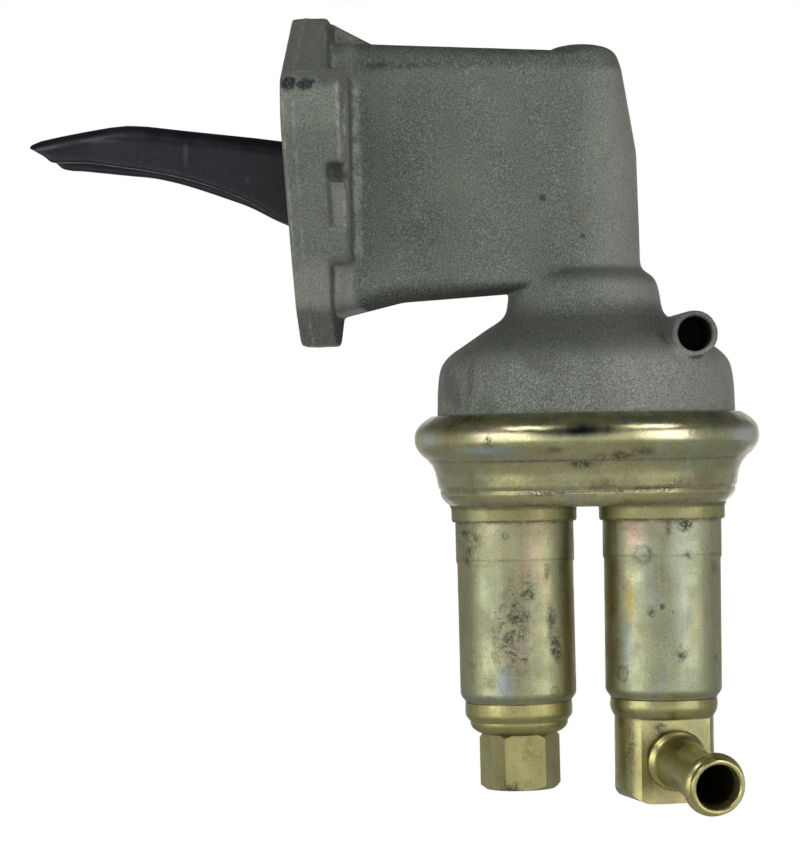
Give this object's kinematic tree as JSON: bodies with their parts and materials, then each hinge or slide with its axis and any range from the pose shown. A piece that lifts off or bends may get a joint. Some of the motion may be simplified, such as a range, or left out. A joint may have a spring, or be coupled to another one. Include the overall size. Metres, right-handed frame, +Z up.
{
  "type": "mechanical fuel pump",
  "caption": "Cam-driven diaphragm fuel pump: cast body with a bolt-on flange and rocker arm, crimped plated cover, valve canisters, threaded outlet and hose nipple inlet.",
  "frame": {"origin": "centre of the two flange bolts, on the flange face", "axes": "+X from the flange face towards the pump's own axis, +Z up along that axis, +Y away from the viewer of the picture"},
  "size_m": [0.1649, 0.0788, 0.1782],
  "materials": {
    "cast_grey": "blasted casting, dull grey-olive, fine grain",
    "zinc_plate": "yellow zinc plating, satin, with stains",
    "black_steel": "black satin phosphate",
    "plain_steel": "plain satin",
    "brass": "satin",
    "black_rubber": "matt",
    "brown_resin": "matt"
  },
  "bodies": {
    "housing": {"upper_housing": "cast_grey", "pivot_pin": "plain_steel", "pivot_plug": "plain_steel", "rocker_spring": "plain_steel", "stem_seal": "black_rubber", "seal_retainer": "plain_steel", "diaphragm_spring": "plain_steel", "diaphragm": "black_rubber", "lower_cover": "zinc_plate", "inlet_valve_seat": "brass", "inlet_valve_stem": "plain_steel", "inlet_valve_spring": "plain_steel", "outlet_valve_seat": "brass", "outlet_valve_stem": "plain_steel", "outlet_valve_spring": "plain_steel", "outlet_canister": "zinc_plate", "outlet_fitting": "zinc_plate", "inlet_canister": "zinc_plate", "inlet_elbow_block": "zinc_plate", "inlet_hose_nipple": "zinc_plate"},
    "rocker": {"rocker_arm": "black_steel", "rocker_bush": "brass", "link_washers": "plain_steel"},
    "link": {"link_lever": "plain_steel"},
    "plunger": {"pull_rod": "plain_steel", "stem_nut": "zinc_plate", "diaphragm_upper_plate": "zinc_plate", "diaphragm_lower_plate": "zinc_plate"},
    "inlet_disc": {"inlet_valve_disc": "brown_resin"},
    "outlet_disc": {"outlet_valve_disc": "brown_resin"}
  },
  "joints": [
    {"name": "rocker_pivot", "type": "hinge", "parent": "housing", "child": "rocker", "pos_m": [0.022, 0, -0.012], "axis": [0, -1, 0], "range_deg": [0, 9], "stiffness_Nm_per_rad": 0.6, "springref_deg": -17.19, "deforming": ["rocker_spring"]},
    {"name": "link_pivot", "type": "hinge", "parent": "housing", "child": "link", "pos_m": [0.022, 0, -0.012], "axis": [0, -1, 0], "range_deg": [0, 9]},
    {"name": "diaphragm_slide", "type": "slide", "parent": "housing", "child": "plunger", "axis": [0, 0, 1], "range_m": [0, 0.0067], "stiffness_N_per_m": 400, "springref_m": -0.008, "deforming": ["diaphragm_spring", "diaphragm"]},
    {"name": "inlet_valve_slide", "type": "slide", "parent": "housing", "child": "inlet_disc", "axis": [0, 0, 1], "range_m": [0, 0.0012], "stiffness_N_per_m": 30, "springref_m": -0.002, "deforming": ["inlet_valve_spring"]},
    {"name": "outlet_valve_slide", "type": "slide", "parent": "housing", "child": "outlet_disc", "axis": [0, 0, -1], "range_m": [0, 0.0012], "stiffness_N_per_m": 30, "springref_m": -0.002, "deforming": ["outlet_valve_spring"]}
  ],
  "couplings": [
    {"joint": "link_pivot", "follows": "rocker_pivot", "ratio": 1},
    {"joint": "diaphragm_slide", "follows": "rocker_pivot", "m_per_rad": 0.0422}
  ]
}
